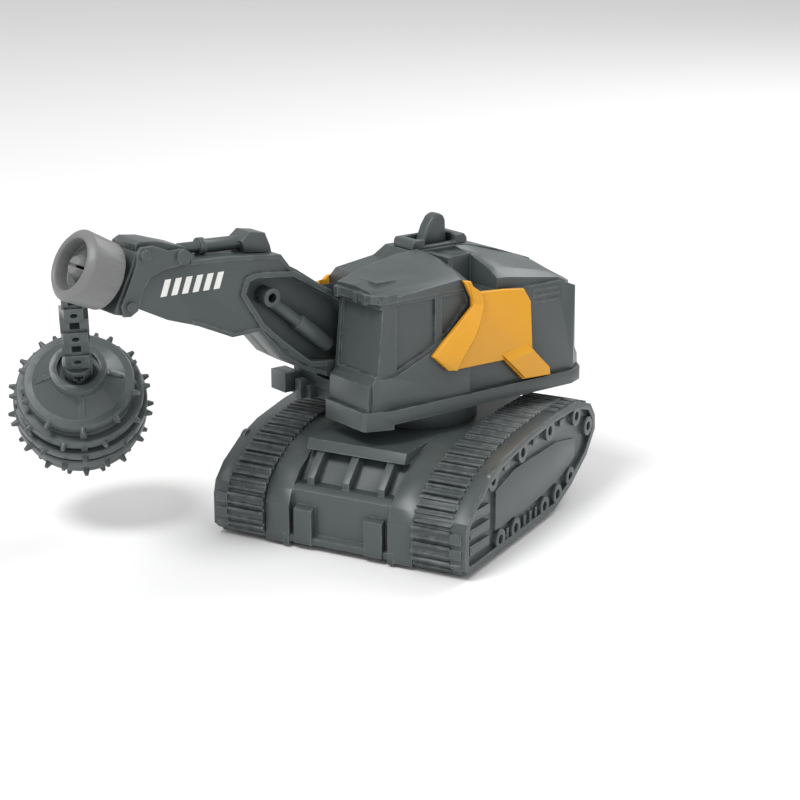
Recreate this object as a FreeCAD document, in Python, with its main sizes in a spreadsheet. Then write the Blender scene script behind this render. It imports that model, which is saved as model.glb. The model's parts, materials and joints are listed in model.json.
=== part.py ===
"""Tracked demolition toy: chassis on hidden wheels, swivelling house, fixed boom, swinging wrecking ball.

Frame: +Z up, origin on the house's swivel axis at floor level, chassis front towards -Y,
the machine's own left (cab) side towards +X.  Millimetres.
"""
import FreeCAD, Part
import math, os
from FreeCAD import Vector, Placement, Rotation

doc = FreeCAD.newDocument("DemolitionToy")
sheet = doc.addObject("Spreadsheet::Sheet", "sizes")
nodes = []          # every handed-out sub-part, in order

# ---------------------------------------------------------------- driving dimensions
DRIVING = [
    ("swivelTurn", -24.25, "house turned about its swivel, degrees"),
    ("ballSwing", -48.4, "ball swung about the drum axis, degrees"),
    ("drumPitch", 26.0, "drum axis above level, degrees"),
    ("chainLean", 38.6, "chain out of the plane square to the drum axis, degrees"),
    ("chainReach", 34.3, "drum mouth centre to ball centre"),
    ("boomPlane", -3.0, "boom centre plane in the house"),
    ("drumReach", -53.8, "drum mouth centre, along the house"),
    ("drumHeight", 43.4, "drum mouth centre above the floor"),
    ("frontEdge", -24.7, "front of the tracks"),
    ("rearEdge", 20.3, "rear of the tracks"),
    ("treadInner", 11.6, "inner edge of each tread from the centre"),
    ("treadWide", 5.8, "width of each tread"),
    ("coverThick", 2.3, "thickness of a track side cover"),
    ("soleHeight", 0.45, "track sole above the floor"),
    ("padHigh", 0.22, "track pad height"),
    ("ribHigh", 0.5, "height of the two ribs on a pad"),
    ("padCount", 48, "track pads round one track"),
    ("hullHalf", 11.5, "half width of the chassis shell"),
    ("panelHalf", 7.7, "half width of the recessed front panel"),
    ("hullTop", 14.4, "top of the chassis shell"),
    ("cavityHalf", 6.4, "half width of the chassis cavity"),
    ("cavityTop", 11.0, "roof of the chassis cavity"),
    ("frontAxleY", -15.5, "front axle along the chassis"),
    ("rearAxleY", 9.5, "rear axle along the chassis"),
    ("wheelRadius", 3.6, "hidden running wheel radius"),
    ("wheelWide", 1.9, "hidden running wheel width"),
    ("wheelInner", 9.35, "inner face of a wheel from the centre"),
    ("axleRadius", 0.7, "steel axle radius"),
    ("axleClear", 0.05, "radial clearance of an axle in its bores"),
    ("postRadius", 3.0, "swivel post radius"),
    ("postClear", 0.08, "radial clearance of the swivel post"),
    ("collarRadius", 8.6, "turntable collar radius"),
    ("collarTop", 17.2, "top of the turntable collar"),
    ("deckBottom", 17.4, "underside of the house deck"),
    ("deckTop", 19.4, "top of the house deck"),
    ("houseLeft", 10.2, "left side of the house"),
    ("houseRight", -12.0, "right side of the house"),
    ("cabInner", 0.4, "inner wall of the cab"),
    ("boomHalf", 3.1, "half width of the boom"),
    ("drumRadius", 4.78, "drum radius at its front lip"),
    ("drumBack", 4.5, "drum radius at its back"),
    ("drumLong", 5.5, "drum length"),
    ("drumGap", 1.3, "gap between the drum and the tip bracket"),
    ("boreRadius", 3.4, "drum mouth radius"),
    ("pinRadius", 1.45, "split pin radius"),
    ("pinClear", 0.08, "radial clearance of the split pin"),
    ("ballRadius", 9.35, "ball radius without its studs"),
    ("studHigh", 0.95, "stud height on the ball"),
    ("discThick", 1.6, "thickness of a disc in the ball"),
    ("discGap", 0.7, "gap between two discs"),
    ("chainWide", 3.8, "chain link width"),
    ("chainNeck", 3.0, "chain width beside the drum"),
    ("chainThick", 2.4, "chain link thickness"),
]
for line, (alias, value, note) in enumerate(DRIVING, start=1):
    sheet.set(f"A{line}", alias)
    sheet.set(f"B{line}", str(value))
    sheet.set(f"C{line}", note)
    sheet.setAlias(f"B{line}", alias)
doc.recompute()


def size(alias):
    return float(sheet.get(alias))


# ---------------------------------------------------------------- placements of the moving groups
chassisPlace = Placement()
housePlace = Placement(Vector(0, 0, 0), Rotation(Vector(0, 0, 1), size("swivelTurn")))
drumCentre = Vector(size("boomPlane"), size("drumReach"), size("drumHeight"))
# swing frame: origin at the drum mouth, +X towards the tip along the drum axis, -Z towards the ball at rest
tipAxis = Rotation(Vector(0, 0, 1), -90).multiply(Rotation(Vector(0, 1, 0), -size("drumPitch")))
drumPlace = housePlace.multiply(Placement(drumCentre, tipAxis))
swingPlace = drumPlace.multiply(Placement(Vector(), Rotation(Vector(1, 0, 0), size("ballSwing"))))


# ---------------------------------------------------------------- small builders
def finish(item, label, place):
    """Name a sub-part and put it in its place."""
    item.Label = label
    item.Placement = place
    nodes.append(item)
    return item


def newBody(name):
    return doc.addObject("PartDesign::Body", name)


def sketch(body, role, offset=0.0, offsetExpr=None):
    """A sketch on one of the body's own origin planes, moved along its normal."""
    plane = [f for f in body.Origin.OriginFeatures if f.Role == role][0]
    sk = body.newObject("Sketcher::SketchObject", body.Name + "_sketch")
    sk.AttachmentSupport = [(plane, "")]
    sk.MapMode = "FlatFace"
    sk.AttachmentOffset = Placement(Vector(0, 0, offset), Rotation())
    if offsetExpr:
        sk.setExpression("AttachmentOffset.Base.z", offsetExpr)
    return sk


def polygon(sk, points):
    points = [Vector(*p, 0) for p in points]
    for a, b in zip(points, points[1:] + points[:1]):
        sk.addGeometry(Part.LineSegment(a, b))


def circle(sk, x, y, radius):
    sk.addGeometry(Part.Circle(Vector(x, y, 0), Vector(0, 0, 1), radius))


def slot(sk, x0, y0, x1, y1, radius):
    """A round-ended slot between two centres."""
    along = Vector(x1 - x0, y1 - y0, 0)
    turn = math.atan2(along.y, along.x)
    side = Vector(-math.sin(turn), math.cos(turn), 0) * radius
    a, b = Vector(x0, y0, 0), Vector(x1, y1, 0)
    up = Vector(0, 0, 1)
    sk.addGeometry(Part.LineSegment(a + side, b + side))
    sk.addGeometry(Part.LineSegment(a - side, b - side))
    sk.addGeometry(Part.ArcOfCircle(Part.Circle(a, up, radius), turn + math.pi / 2, turn + 1.5 * math.pi))
    sk.addGeometry(Part.ArcOfCircle(Part.Circle(b, up, radius), turn - math.pi / 2, turn + math.pi / 2))


def pad(body, sk, length, reverse=False):
    """A pad; length is a number or an expression on the sheet."""
    doc.recompute()
    item = body.newObject("PartDesign::Pad", body.Name + "_pad")
    item.Profile = sk
    setLength(item, length)
    item.Reversed = reverse
    doc.recompute()
    return item


def pocket(body, sk, length, reverse=False):
    """A pocket that must take material away."""
    doc.recompute()
    before = body.Tip.Shape.Volume
    item = body.newObject("PartDesign::Pocket", body.Name + "_pocket")
    item.Profile = sk
    setLength(item, length)
    item.Reversed = reverse
    doc.recompute()
    if not item.Shape.Volume < before - 1e-6:
        raise RuntimeError("a pocket in " + body.Name + " cuts nothing")
    return item


def setLength(item, length):
    if isinstance(length, str):
        item.setExpression("Length", length)
    else:
        item.Length = length


def prism(name, role, points, length, offset=0.0, offsetExpr=None):
    """A body with one padded polygon."""
    body = newBody(name)
    sk = sketch(body, role, offset, offsetExpr)
    polygon(sk, points)
    pad(body, sk, length)
    return body


def addPrism(body, role, points, length, offset):
    sk = sketch(body, role, offset)
    polygon(sk, points)
    return pad(body, sk, length)


def cutPrism(body, role, points, length, offset):
    """Cut a polygon's prism out, from offset along the plane's normal."""
    sk = sketch(body, role, offset)
    polygon(sk, points)
    return pocket(body, sk, length, reverse=True)


def rectangle(x0, y0, x1, y1):
    return [(x0, y0), (x1, y0), (x1, y1), (x0, y1)]


def cylinder(name, radius, height, base, direction=(0, 0, 1)):
    """A Part cylinder; radius and height are numbers or expressions."""
    item = doc.addObject("Part::Cylinder", name)
    for field, value in (("Radius", radius), ("Height", height)):
        if isinstance(value, str):
            item.setExpression(field, value)
        else:
            setattr(item, field, value)
    item.Placement = Placement(Vector(*base), Rotation(Vector(0, 0, 1), Vector(*direction)))
    return item


def cone(name, low, high, height, base, direction=(0, 0, 1)):
    item = doc.addObject("Part::Cone", name)
    item.Radius1, item.Radius2, item.Height = low, high, height
    item.Placement = Placement(Vector(*base), Rotation(Vector(0, 0, 1), Vector(*direction)))
    return item


def box(name, low, high):
    item = doc.addObject("Part::Box", name)
    item.Length, item.Width, item.Height = [b - a for a, b in zip(low, high)]
    item.Placement = Placement(Vector(*low), Rotation())
    return item


def fuse(name, items):
    item = doc.addObject("Part::MultiFuse", name)
    item.Shapes = items
    doc.recompute()
    return item


def cut(name, base, tools):
    tool = tools[0] if len(tools) == 1 else fuse(name + "_tools", tools)
    item = doc.addObject("Part::Cut", name)
    item.Base, item.Tool = base, tool
    doc.recompute()
    return item


def group(name, items):
    """Identical fasteners kept as one group of separate solids."""
    item = doc.addObject("Part::Compound", name)
    item.Links = items
    doc.recompute()
    return item


# ---------------------------------------------------------------- chassis
def trackOutline(inset):
    """Side outline of a track, (y, z), brought in by inset."""
    front, rear, sole = size("frontEdge"), size("rearEdge"), size("soleHeight")
    outline = [(front + 1.3, sole), (5.3, sole), (11.0, sole + 1.9), (17.0, sole + 5.0),
               (rear, 9.0), (rear - 0.2, 11.4), (rear - 2.2, 13.8), (13.0, 15.5), (3.5, 15.7),
               (-5.0, 15.3), (-12.5, 14.3), (-17.5, 12.8), (-21.9, 10.4), (-24.1, 8.2),
               (front, 6.2), (front, sole + 1.2)]
    if not inset:
        return outline
    wire = Part.makePolygon([Vector(y, z, 0) for y, z in outline + outline[:1]])
    inner = Part.Face(wire).makeOffset2D(-inset)
    return [(v.Point.x, v.Point.y) for v in inner.OuterWire.OrderedVertexes]


def track(side, sign):
    """Tread moulding: a band body with a grouser rib on every pad."""
    inner, wide = size("treadInner"), size("treadWide")
    body = prism(f"tread_{side}", "YZ_Plane", trackOutline(size("ribHigh")), "sizes.treadWide",
                 offset=inner if sign > 0 else -inner - wide)
    outline = [Vector(0, y, z) for y, z in trackOutline(size("ribHigh"))]
    wire = Part.makePolygon(outline + outline[:1])
    stations = wire.discretize(Number=int(size("padCount")) + 1)[:-1]
    ribs = []
    start = inner if sign > 0 else -inner - wide
    long, plate, high = wire.Length / len(stations), size("padHigh"), size("ribHigh")
    section = [(0.0, -0.2), (0.0, plate), (0.08, high), (0.38, high), (0.52, plate), (1.2, plate), (1.3, high),
               (1.6, high), (1.74, plate), (long - 0.35, plate * 0.6), (long - 0.35, -0.2)]
    for here, after in zip(stations, stations[1:] + stations[:1]):
        along = (after - here).normalize()
        out = Vector(0, along.z, -along.y)
        corners = [here + along * u + out * v for u, v in section]
        face = Part.Face(Part.makePolygon(corners + corners[:1]))
        ribs.append(face.extrude(Vector(wide, 0, 0)).translated(Vector(start, 0, 0)))
    ribItem = doc.addObject("Part::Feature", f"track_{side}_ribs")
    ribItem.Shape = Part.makeCompound(ribs)
    return finish(fuse(f"track_{side}_all", [body, ribItem]), f"track_{side}", chassisPlace)


def trackCover(side, sign):
    """Outer side moulding of a track with rollers and panels in relief."""
    inner = size("treadInner") + size("treadWide")
    thick = size("coverThick")
    face = sign * (inner + thick)
    deep = 0.7

    def start(depthIn, length):
        return face - depthIn if sign > 0 else face + depthIn - length

    body = prism(f"cover_{side}", "YZ_Plane", trackOutline(0.35), thick, offset=start(thick, thick))
    cutPrism(body, "YZ_Plane", trackOutline(1.35), deep, start(deep, deep))

    def raised(points, high):
        addPrism(body, "YZ_Plane", points, high, start(deep, high) if sign > 0 else face + deep - high)

    raised([(-14.7, 4.2), (-9.5, 4.2), (0.5, 4.3), (9.0, 5.4), (12.6, 6.8), (12.4, 9.6), (6.0, 10.9), (-8.3, 11.2),
            (-14.7, 9.9)], 0.5)
    for low in (3.2, 5.5, 7.8):
        raised([(-22.6, low), (-16.6, low - 0.3), (-16.6, low + 1.0), (-22.6, low + 1.3)], 0.5)
    for y in (-10.9, -5.2, -3.2, -1.3):
        raised(rectangle(y, 1.6, y + 0.7, 3.2), 0.45)
    for y, z in ((-11.9, 12.4), (-2.4, 13.3), (7.0, 13.4)):
        raised(rectangle(y, z - 0.5, y + 1.6, z + 0.5), 0.45)
    rollers = [(-15.9, 11.8), (-6.4, 13.0), (2.9, 13.5), (12.6, 13.0), (-13.3, 2.5), (-8.3, 2.5), (1.6, 2.5), (6.2, 2.9),
               (10.8, 4.2), (17.2, 10.2)]
    for y, z in rollers:
        sk = sketch(body, "YZ_Plane", start(deep, deep) if sign > 0 else face)
        circle(sk, y, z, 1.45)
        circle(sk, y, z, 0.7)
        pad(body, sk, deep)
    body.Tip = body.Group[-1]
    # lugs on the rim, in line with the pads
    outline = [Vector(0, y, z) for y, z in trackOutline(0.35)]
    wire = Part.makePolygon(outline + outline[:1])
    stations = wire.discretize(Number=int(size("padCount")) + 1)[:-1]
    lugs = []
    for here, after in zip(stations, stations[1:] + stations[:1]):
        along = (after - here).normalize()
        out = Vector(0, along.z, -along.y)
        if here.z > 7.0 and here.y < 6.0:
            continue
        corners = [here + along * u + out * v for u, v in ((0.1, -0.2), (0.1, 0.3), (1.5, 0.3), (1.5, -0.2))]
        begin = inner if sign > 0 else -inner - thick + 0.6
        lugs.append(Part.Face(Part.makePolygon(corners + corners[:1])).extrude(Vector(thick - 0.6, 0, 0))
                    .translated(Vector(begin, 0, 0)))
    lugItem = doc.addObject("Part::Feature", f"cover_{side}_lugs")
    lugItem.Shape = Part.makeCompound(lugs)
    return finish(fuse(f"cover_{side}_all", [body, lugItem]), f"track_cover_{side}", chassisPlace)


def chassisShell():
    """Upper chassis moulding between the tracks, open below."""
    half, panel, top = size("hullHalf"), size("panelHalf"), size("hullTop")
    core = [(-22.9, 0.9), (-22.9, 8.3), (-21.9, 8.9), (-20.2, 8.9), (-17.0, 12.6), (-18.9, 13.0),
            (-18.2, top), (17.0, top), (19.4, 11.5), (19.4, 7.5), (16.5, 4.6), (12.2, 0.9)]
    body = prism("chassis_shell", "YZ_Plane", core, 2 * panel, offset=-panel)
    cheek = [(-23.9, 0.6), (-23.9, 6.2), (-23.0, 8.2), (-20.6, 10.6), (-17.0, 12.7), (-12.0, 14.0),
             (-8.0, top), (14.0, top), (18.3, 12.6), (19.4, 10.6), (19.2, 8.6), (15.5, 4.6), (12.0, 0.9)]
    for start in (-half, panel):
        addPrism(body, "YZ_Plane", cheek, half - panel, start)
    # feet under the inner edge of each cheek
    foot = [(-24.0, 0.35), (-24.0, 2.0), (-22.9, 2.0), (-22.9, 0.35)]
    for start in (-panel - 1.0, panel):
        addPrism(body, "YZ_Plane", foot, 1.0, start)
    # three raked fins over the front opening and two blocks under the sill
    fin = [(-18.6, 12.9), (-21.6, 9.9), (-21.6, 8.6), (-19.6, 8.6), (-16.8, 12.4)]
    for middle in (-5.5, 0.0, 5.5):
        addPrism(body, "YZ_Plane", fin, 1.1, middle - 0.55)
    block = [(-24.0, 0.9), (-24.0, 5.9), (-23.1, 6.3), (-22.5, 6.3), (-22.5, 0.9)]
    for start in (-6.9, 4.1):
        addPrism(body, "YZ_Plane", block, 2.8, start)
    lip = [(-23.7, 0.9), (-23.7, 1.8), (-22.7, 2.3), (-22.7, 0.9)]
    addPrism(body, "YZ_Plane", lip, 2 * panel, -panel)
    # cavity from below, wheel wells, swivel hole, axle bores
    cavity = size("cavityHalf")
    cutPrism(body, "XY_Plane", rectangle(-cavity, -16.2, cavity, 11.6), size("cavityTop"), 0)
    cutPrism(body, "XY_Plane", rectangle(-cavity, -20.4, cavity, -16.2), 7.6, 0)
    for axleY in (size("frontAxleY"), size("rearAxleY")):
        reach = size("wheelRadius") + 0.5
        for start in (-half, size("wheelInner") - 0.25):
            wide = half - size("wheelInner") + 0.25
            cutPrism(body, "XY_Plane", rectangle(start, axleY - reach, start + wide, axleY + reach), 8.0, 0)
        sk = sketch(body, "YZ_Plane", -half)
        circle(sk, axleY, size("wheelRadius"), size("axleRadius") + size("axleClear"))
        pocket(body, sk, 2 * half, reverse=True)
    sk = sketch(body, "XY_Plane", size("cavityTop") - 1)
    circle(sk, 0, 0, size("postRadius") + 0.35)
    pocket(body, sk, 6, reverse=True)
    return finish(body, "chassis_shell", chassisPlace)


def basePlate():
    """Lower plate that closes the chassis, with four screw bosses."""
    reach = size("cavityHalf") - 0.1
    body = prism("base_plate", "XY_Plane", rectangle(-reach, -20.3, reach, 11.5), 1.0, offset=1.0)
    for x in (-4.6, 4.6):
        for y in (-19.0, 6.0):
            sk = sketch(body, "XY_Plane", 2.0)
            circle(sk, x, y, 1.2)
            pad(body, sk, 8.95 if y > 0 else 5.5)
    for x in (-4.6, 4.6):
        for y in (-19.0, 6.0):
            sk = sketch(body, "XY_Plane", 0.9)
            circle(sk, x, y, 0.62)
            pocket(body, sk, 7.5, reverse=True)
    return finish(body, "base_plate", chassisPlace)


def screw(name, x, y, z, long, radius=0.6, head=1.05, upward=1):
    """Cross-head self-tapping screw; the head sits at z."""
    direction = (0, 0, upward)
    shank = cylinder(name + "_shank", radius, long, (x, y, z), direction)
    cap = cylinder(name + "_head", head, 0.5, (x, y, z), (0, 0, -upward))
    whole = fuse(name + "_whole", [shank, cap])
    low = min(z - upward * 0.5, z - upward * 0.25)
    bars = [box(name + "_slot_a", (x - 0.6, y - 0.13, low), (x + 0.6, y + 0.13, low + 0.25)),
            box(name + "_slot_b", (x - 0.13, y - 0.6, low), (x + 0.13, y + 0.6, low + 0.25))]
    return cut(name, whole, bars)


def baseScrews():
    spots = [(x, y) for x in (-4.6, 4.6) for y in (-19.0, 6.0)]
    items = [screw(f"base_screw_{k}", x, y, 0.99, 6.0) for k, (x, y) in enumerate(spots)]
    return finish(group("base_screw_group", items), "base_screws", chassisPlace)


def turntableCollar():
    ring = cylinder("collar_ring", "sizes.collarRadius", 2.8, (0, 0, size("hullTop")))
    bore = cylinder("collar_bore", size("postRadius") + size("postClear"), 6, (0, 0, size("hullTop") - 1))
    rim = cylinder("collar_rim", size("collarRadius") - 1.2, 2, (0, 0, size("collarTop") - 0.6))
    keep = cylinder("collar_keep", 4.6, 3, (0, 0, size("collarTop") - 1.0))
    groove = cut("collar_groove", rim, [keep])
    return finish(cut("collar_all", ring, [bore, groove]), "turntable_collar", chassisPlace)


def axleSet(end):
    """One steel axle with its two small running wheels."""
    y, z = size(f"{end}AxleY"), size("wheelRadius")
    half = size("wheelInner") + size("wheelWide") - 0.1
    axle = cylinder(f"{end}_axle_rod", "sizes.axleRadius", 2 * half, (-half, y, z), (1, 0, 0))
    finish(axle, f"{end}_axle", axle.Placement)
    for side, sign in (("left", 1), ("right", -1)):
        name = f"{end}_wheel_{side}"
        base = (sign * size("wheelInner"), y, z)
        tyre = cylinder(name + "_tyre", "sizes.wheelRadius", "sizes.wheelWide", base, (sign, 0, 0))
        dish = cylinder(name + "_dish", 2.3, 0.5, (sign * (size("wheelInner") + size("wheelWide") - 0.45), y, z),
                        (sign, 0, 0))
        hub = cylinder(name + "_hub", 1.2, 0.6, (sign * (size("wheelInner") + size("wheelWide") - 0.5), y, z),
                       (sign, 0, 0))
        bore = cylinder(name + "_bore", "sizes.axleRadius", 6, (sign * (size("wheelInner") - 1), y, z), (sign, 0, 0))
        finish(cut(name, tyre, [cut(name + "_ring", dish, [hub]), bore]), name, chassisPlace)


# ---------------------------------------------------------------- house
screwSpots = [(7.0, 10.0), (-9.0, 10.0), (7.5, -11.0), (-9.0, -10.0)]


def deckPlate():
    """House lower plate: cab bumper, boom gap, right step block and the skirt."""
    left, right = size("houseLeft") + 0.5, size("houseRight") - 0.6
    low, high = size("deckBottom"), size("deckTop")
    outline = [(0.0, -16.5), (8.9, -16.7), (9.3, -16.4), (left, -12.6), (left, 20.4), (9.6, 22.9), (7.0, 24.5),
               (-8.6, 24.5), (-11.2, 22.9), (right, 20.4), (right, -14.6), (-6.4, -14.6), (-6.4, -13.2), (0.0, -13.2)]
    body = prism("deck_plate", "XY_Plane", outline, high - low, offset=low)
    bumper = [(0.0, -16.5), (8.9, -16.7), (9.3, -16.4), (left, -12.6), (8.6, -12.6), (7.6, -14.0), (0.0, -14.0)]
    addPrism(body, "XY_Plane", bumper, 0.8, low - 0.7)
    addPrism(body, "XY_Plane", rectangle(right - 0.1, -17.0, -9.2, -14.5), 2.9, low + 0.7)
    addPrism(body, "XY_Plane", rectangle(-8.5, -15.7, -7.2, -14.5), 2.8, low)
    beam = rectangle(-6.35, -13.6, 0.0, -12.0)
    addPrism(body, "XY_Plane", beam, 1.6, high - 0.2)
    for x, y in screwSpots:
        sk = sketch(body, "XY_Plane", low)
        circle(sk, x, y, 0.62)
        pocket(body, sk, 0.92, reverse=True)
    return finish(body, "deck_plate", housePlace)


def swivelPost():
    """Post under the deck; it turns in the collar and is held by a washer."""
    long = size("deckBottom") - size("cavityTop") + 0.3
    rod = cylinder("post_rod", "sizes.postRadius", long, (0, 0, size("deckBottom") - long))
    bore = cylinder("post_bore", 0.75, 5, (0, 0, size("deckBottom") - long - 1))
    return finish(cut("post_all", rod, [bore]), "swivel_post", housePlace)


def swivelWasher():
    plate = cylinder("washer_plate", 4.6, 0.5, (0, 0, 10.15))
    hole = cylinder("washer_hole", 0.8, 2, (0, 0, 9.5))
    return finish(cut("washer_all", plate, [hole]), "swivel_washer", housePlace)


def swivelScrew():
    return finish(screw("pivot_screw", 0, 0, 10.14, 3.6, radius=0.74, head=1.7), "swivel_screw", housePlace)


def houseShell():
    """Engine cover and right-hand body in one moulding, with the boom gap."""
    left, right, inner = size("houseLeft"), size("houseRight"), size("cabInner")
    low = size("deckTop")
    spine = [(-13.4, low), (-13.9, 27.5), (-13.6, 33.4), (-12.9, 34.0), (-7.6, 34.8), (-1.9, 36.4), (-0.9, 38.2), (8.5, 38.2), (14.5, 36.6),
             (20.8, 34.4), (21.6, 33.0), (21.8, 25.0), (22.0, 22.4), (23.6, 21.0), (23.9, low)]
    body = prism("house_right", "YZ_Plane", spine, inner - 0.1 - right, offset=right)
    engine = [(1.3, low), (1.3, 33.3), (18.4, 33.1), (21.4, 31.9), (21.8, 25.0), (22.0, 22.4), (23.6, 21.0), (23.9, low)]
    addPrism(body, "YZ_Plane", engine, left - 0.2 - inner + 0.1, inner - 0.1)
    # crown: the top falls away to the far shoulder
    crownRight = [(right - 0.1, 33.2), (-10.5, 34.8), (-8.0, 36.6), (-6.4, 38.3), (-6.4, 40.0), (right - 0.1, 40.0)]
    cutPrism(body, "XZ_Plane", crownRight, 31.0, -24)
    front = browLine() + [(-6.3, 41.0), (right - 0.1, 41.0)]
    cutPrism(body, "XZ_Plane", front, 13, 7.0)
    # boom gap, open to the front and up
    gap = [(-14.5, low), (-14.5, 40.0), (-9.5, 40.0), (-7.6, 34.0), (-9.0, 22.0), (-10.5, low)]
    cutPrism(body, "YZ_Plane", gap, inner + 6.4, -6.4)
    # back corners
    for x, s in ((left - 0.2, 1), (right, -1)):
        cutPrism(body, "XY_Plane", [(x + s, 25.0), (x - s * 2.9, 25.0), (x + s, 19.8)], 30, low - 1)

    def coverSection(y, base, edge, shoulder, middle, top):
        return (y, [(inner - 0.1, base), (9.5, base), (9.5, edge), (7.6, shoulder), (4.0, middle), (inner - 0.1, top)])

    cover = loftBody("engine_cover", [coverSection(6.6, 33.0, 35.0, 36.1, 37.3, 38.1),
                                      coverSection(8.5, 33.0, 34.9, 36.0, 37.2, 38.0),
                                      coverSection(18.2, 32.6, 33.5, 34.2, 34.9, 35.3),
                                      coverSection(21.3, 31.4, 32.1, 32.6, 33.2, 34.0)])
    corner = prism("engine_corner", "XY_Plane", [(9.6, 24.0), (6.6, 24.0), (9.6, 19.4)], 12, offset=30)
    bridge = prism("house_bridge", "YZ_Plane", [(1.25, 33.0), (1.25, 37.3), (2.4, 37.5), (6.8, 37.6), (6.8, 33.0)], 3.4,
                   offset=inner - 0.2)
    ridges = [box(f"louvre_{k}", (9.6, 13.0, z), (10.12, 18.0, z + 0.4)) for k, z in enumerate((30.4, 31.3, 32.2))]
    rib = box("cab_back_rib", (inner - 0.2, 1.25, 33.0), (5.2, 2.1, 37.9))
    whole = fuse("house_whole", [body, cut("engine_cover_cut", cover, [corner]), bridge, rib] + ridges)
    return finish(whole, "house_shell", housePlace)


def loftBody(name, sections):
    """A body lofted straight between polygons given as (y, [(x, z), ...])."""
    body = newBody(name)
    sketches = []
    for y, points in sections:
        sk = sketch(body, "XZ_Plane", -y)
        polygon(sk, points)
        sketches.append(sk)
    doc.recompute()
    loft = body.newObject("PartDesign::AdditiveLoft", name + "_loft")
    loft.Profile = sketches[0]
    loft.Sections = sketches[1:]
    loft.Ruled = True
    doc.recompute()
    return body


def cabShell():
    """Cab with recessed windows, a proud lower body, a domed roof and a short visor."""
    left, inner, low = size("houseLeft"), size("cabInner"), size("deckTop")
    glassSide = left - 0.45
    side = [(-15.4, low), (-15.4, 23.3), (-15.1, 24.0), (-14.1, 34.4), (1.2, 34.4), (1.2, low)]
    body = prism("cab_lower", "YZ_Plane", side, glassSide - inner, offset=inner)
    lower = [(-15.4, low), (-15.4, 23.3), (-15.1, 23.9), (-12.0, 24.0), (-5.6, 26.5), (-4.0, 27.8), (1.2, 27.8), (1.2, low)]
    addPrism(body, "YZ_Plane", lower, 0.45, glassSide)
    front = [(-16.0, low), (-16.0, 23.0), (-15.3, 23.5), (-15.3, low)]
    addPrism(body, "YZ_Plane", front, left - inner - 0.9, inner)
    # chamfered front post, then the glass areas
    cutPrism(body, "XY_Plane", [(8.6, -18.0), (left + 0.2, -18.0), (left + 0.2, -12.9)], 16, low - 0.5)
    deep = 0.35
    pane = [(-11.5, 24.7), (-11.5, 33.9), (-4.8, 33.9), (-4.8, 27.4), (-5.8, 26.9)]
    cutPrism(body, "YZ_Plane", pane, deep, glassSide - deep)
    rearPane = [(-3.6, 28.6), (-3.6, 33.9), (0.4, 33.9), (0.9, 32.6), (-2.6, 28.6)]
    cutPrism(body, "YZ_Plane", rearPane, deep, glassSide - deep)
    cutPrism(body, "YZ_Plane", [(-16.5, 24.4), (-14.7, 24.4), (-13.85, 33.6), (-16.5, 33.6)], 12, 1.1)

    def roofSection(y, edge, top, base=34.4):
        middle = (edge + top) / 2 + 0.75
        return (y, [(inner, base), (left - 0.1, base), (left - 0.1, edge), (8.3, edge + 0.75), (4.4, middle), (inner, top)])

    roof = loftBody("cab_roof", [roofSection(-14.6, 34.9, 36.0), roofSection(-9.9, 35.2, 37.4),
                                 roofSection(-4.4, 35.7, 38.4), roofSection(-0.6, 36.0, 38.6),
                                 roofSection(1.2, 35.2, 37.9)])
    visor = prism("cab_visor", "XY_Plane", [(inner, -15.2), (8.9, -15.2), (left, -13.4), (left, -11.6), (inner, -13.9)], 1.15,
                  offset=34.4)
    tabs = [box(f"cab_tab_{k}", (x, -15.5, 34.2), (x + 0.8, -14.6, 35.55)) for k, x in enumerate((1.0, 5.2, 7.2))]
    step = prism("cab_roof_step", "XY_Plane", [(1.4, -12.6), (6.6, -12.6), (6.9, -9.4), (1.4, -9.4)], 1.0, offset=35.6)
    return finish(fuse("cab_whole", [body, roof, visor, step] + tabs), "cab_shell", housePlace)


def yellowPanel():
    """Left side panel: wraps the rear post of the cab and the engine cover."""
    left = size("houseLeft")
    front = [(-6.0, 25.9), (-3.1, 23.4), (7.0, 23.3), (7.0, 33.6), (2.4, 33.9), (1.2, 34.7), (0.7, 35.7), (-0.6, 35.9),
             (0.9, 33.3), (1.1, 32.0), (-4.0, 27.7)]
    body = prism("yellow_left", "YZ_Plane", front, 0.75, offset=left + 0.02)
    rear = [(7.0, 23.3), (10.6, 19.8), (15.9, 19.6), (15.7, 20.8), (12.3, 24.1), (11.8, 31.2), (10.5, 33.2), (7.0, 33.6)]
    addPrism(body, "YZ_Plane", rear, 0.75, left + 0.02)
    return finish(body, "yellow_panel_left", housePlace)


def browLine():
    """Front top edge of the right body, (x, z)."""
    return [(size("houseRight") - 0.1, 31.4), (-9.4, 32.6), (-6.3, 33.9)]


def yellowPanelRight():
    """Right side panel with a narrow band over the front top edge."""
    right = size("houseRight")
    outline = [(-12.9, 29.0), (-12.9, 31.6), (-9.0, 32.0), (-7.0, 33.4), (4.0, 33.4), (9.0, 31.0), (9.0, 24.5), (-3.0, 24.5)]
    body = prism("yellow_right", "YZ_Plane", outline, 0.7, offset=right - 0.72)
    low = [(right - 0.72, 31.12)] + browLine()[1:2] + [(-6.45, 33.83)]
    band = low + [(x, z + 0.75) for x, z in reversed(low)]
    addPrism(body, "XZ_Plane", band, 1.7, 11.0)
    return finish(body, "yellow_panel_right", housePlace)


def exhaust():
    """Rounded blade standing in the guard."""
    outline = [(2.0, 38.2), (3.2, 41.0), (4.1, 42.3), (5.1, 42.7), (6.0, 42.4), (6.4, 41.6), (6.6, 38.2)]
    body = prism("exhaust", "YZ_Plane", outline, 2.1, offset=-3.8)
    return finish(body, "exhaust_stack", housePlace)


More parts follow.
